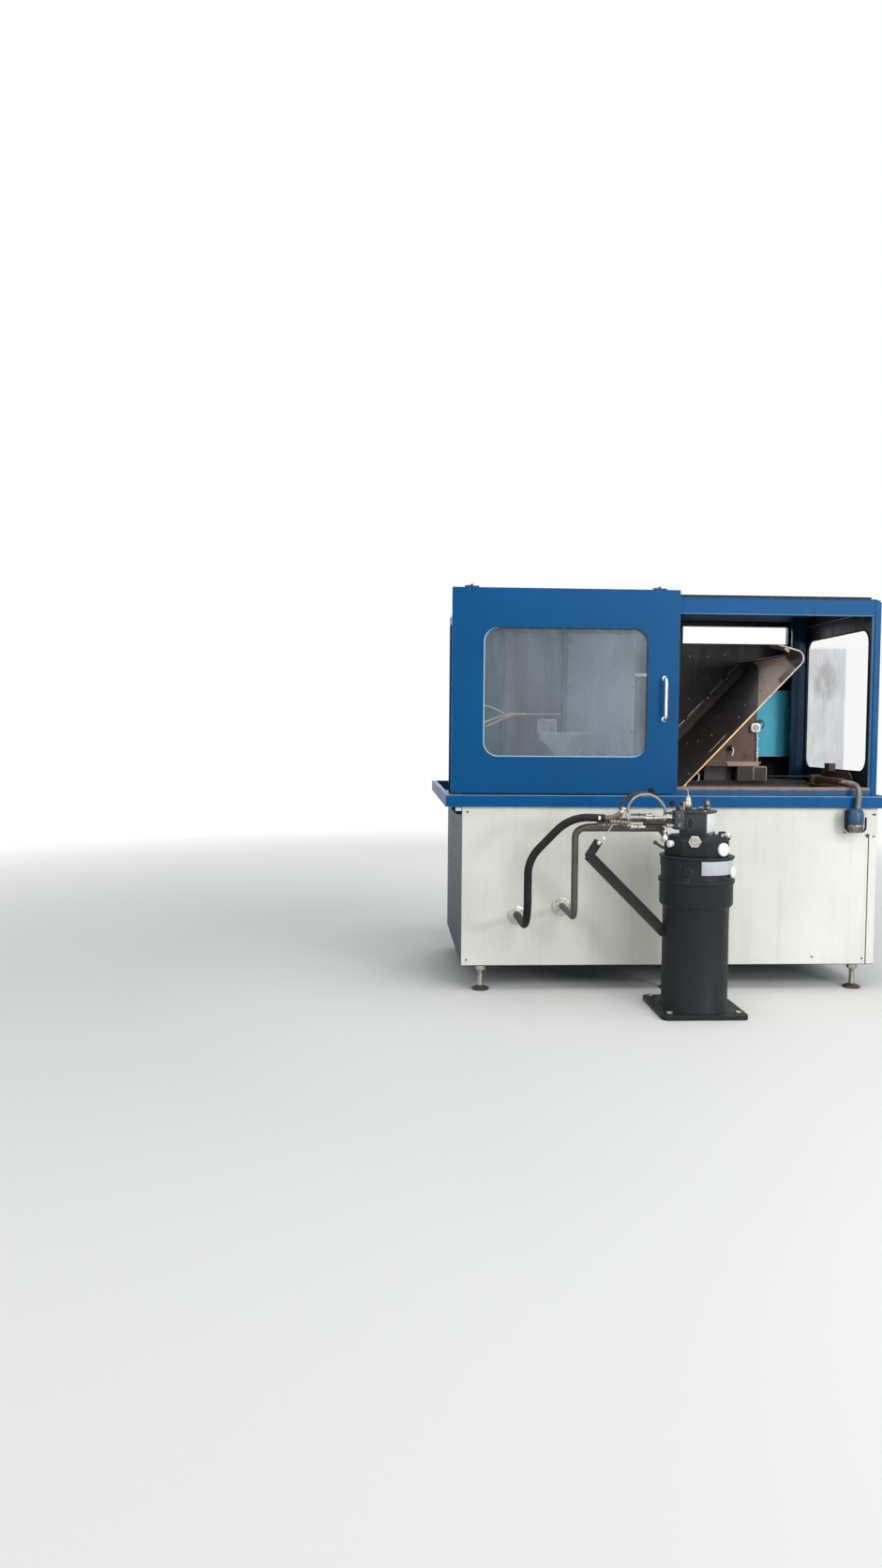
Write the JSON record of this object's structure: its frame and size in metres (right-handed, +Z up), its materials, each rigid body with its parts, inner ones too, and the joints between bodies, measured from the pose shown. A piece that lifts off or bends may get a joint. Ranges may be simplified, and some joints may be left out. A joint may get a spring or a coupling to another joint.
{
  "type": "surface hardening machine",
  "caption": "Surface hardening machine: cabinet base with drip tray, blue glazed enclosure with a sliding door, splash chute and work station inside, hydraulic unit in front.",
  "frame": {"origin": "on the floor, under the centre of the whole machine's box", "axes": "+X along the machine to the right as seen from the door side, +Y to the back, +Z up"},
  "size_m": [2.524, 2.26, 2.237],
  "materials": {
    "blue_paint": "semi-gloss enamel, scuffed at the edges",
    "blue_grey_paint": "worn dark blue-grey paint",
    "cream_paint": "satin paint, slightly stained",
    "dark_steel": "oily dark steel with splashes",
    "black_steel": "black paint, rubbed",
    "brown_iron": "brown primer and rust film",
    "grey_iron": "machined iron, oily",
    "plain_steel": "plain worn steel",
    "bright_chrome": "polished",
    "brass": "dull brass and plated steel",
    "copper": "copper with heat stains",
    "teal_paint": "smooth teal enamel",
    "unit_grey": "dark grey machine paint, oily",
    "black_rubber": "matt hose cover",
    "grey_conduit": "ribbed grey sleeve",
    "blue_plastic": "moulded, slightly dusty",
    "white_plastic": "moulded, rounded",
    "hazy_glass": "hazy pane with dried spray"
  },
  "bodies": {
    "root": {"base_frame": "blue_grey_paint", "base_front_panels": "cream_paint", "base_shell": "blue_grey_paint", "levelling_feet": "plain_steel", "tray_gussets": "blue_grey_paint", "socket_plate": "cream_paint", "plug_connector": "blue_plastic", "flexible_conduit": "grey_conduit", "tray_floor": "dark_steel", "tray_front_rim": "blue_paint", "tray_rear_rim": "blue_paint", "tray_left_rim": "blue_paint", "tray_right_rim": "blue_paint", "front_left_post": "blue_paint", "mid_left_post": "blue_paint", "rear_left_post": "blue_paint", "front_right_post": "blue_paint", "mid_right_post": "blue_paint", "rear_right_post": "blue_paint", "left_top_rail": "blue_paint", "right_top_rail": "blue_paint", "front_top_rail": "blue_paint", "rear_top_rail": "blue_paint", "front_sill": "blue_paint", "left_side_panel": "blue_paint", "right_side_panel": "blue_paint", "left_side_glass": "hazy_glass", "right_side_glass": "hazy_glass", "roof_sheet": "blue_paint", "door_track": "black_steel", "fixed_front_panel": "blue_paint", "fixed_front_glass": "hazy_glass", "rear_wall": "dark_steel", "slide_bed": "dark_steel", "splash_chute": "dark_steel", "chute_liner": "brown_iron", "slide_column": "brown_iron", "fixture_box": "grey_iron", "limit_switch": "white_plastic", "transformer_box": "teal_paint", "guide_tower": "grey_iron", "tower_duct": "teal_paint", "work_pedestal": "grey_iron", "inductor_leads": "copper", "conduit_shelf": "brown_iron", "unit_body": "unit_grey", "unit_valve_block": "unit_grey", "unit_fittings": "plain_steel", "pipe_manifold": "brass", "loop_pipe": "plain_steel", "supply_hose": "black_rubber", "return_pipe": "brown_iron", "pipe_flanges": "plain_steel", "unit_arm": "unit_grey"},
    "door": {"door_leaf": "blue_paint", "door_glass": "hazy_glass", "door_handle": "bright_chrome", "door_hangers": "blue_paint"}
  },
  "joints": [
    {"name": "door_slide", "type": "slide", "parent": "root", "child": "door", "axis": [1, 0, 0], "range_m": [0, 0.95]}
  ]
}
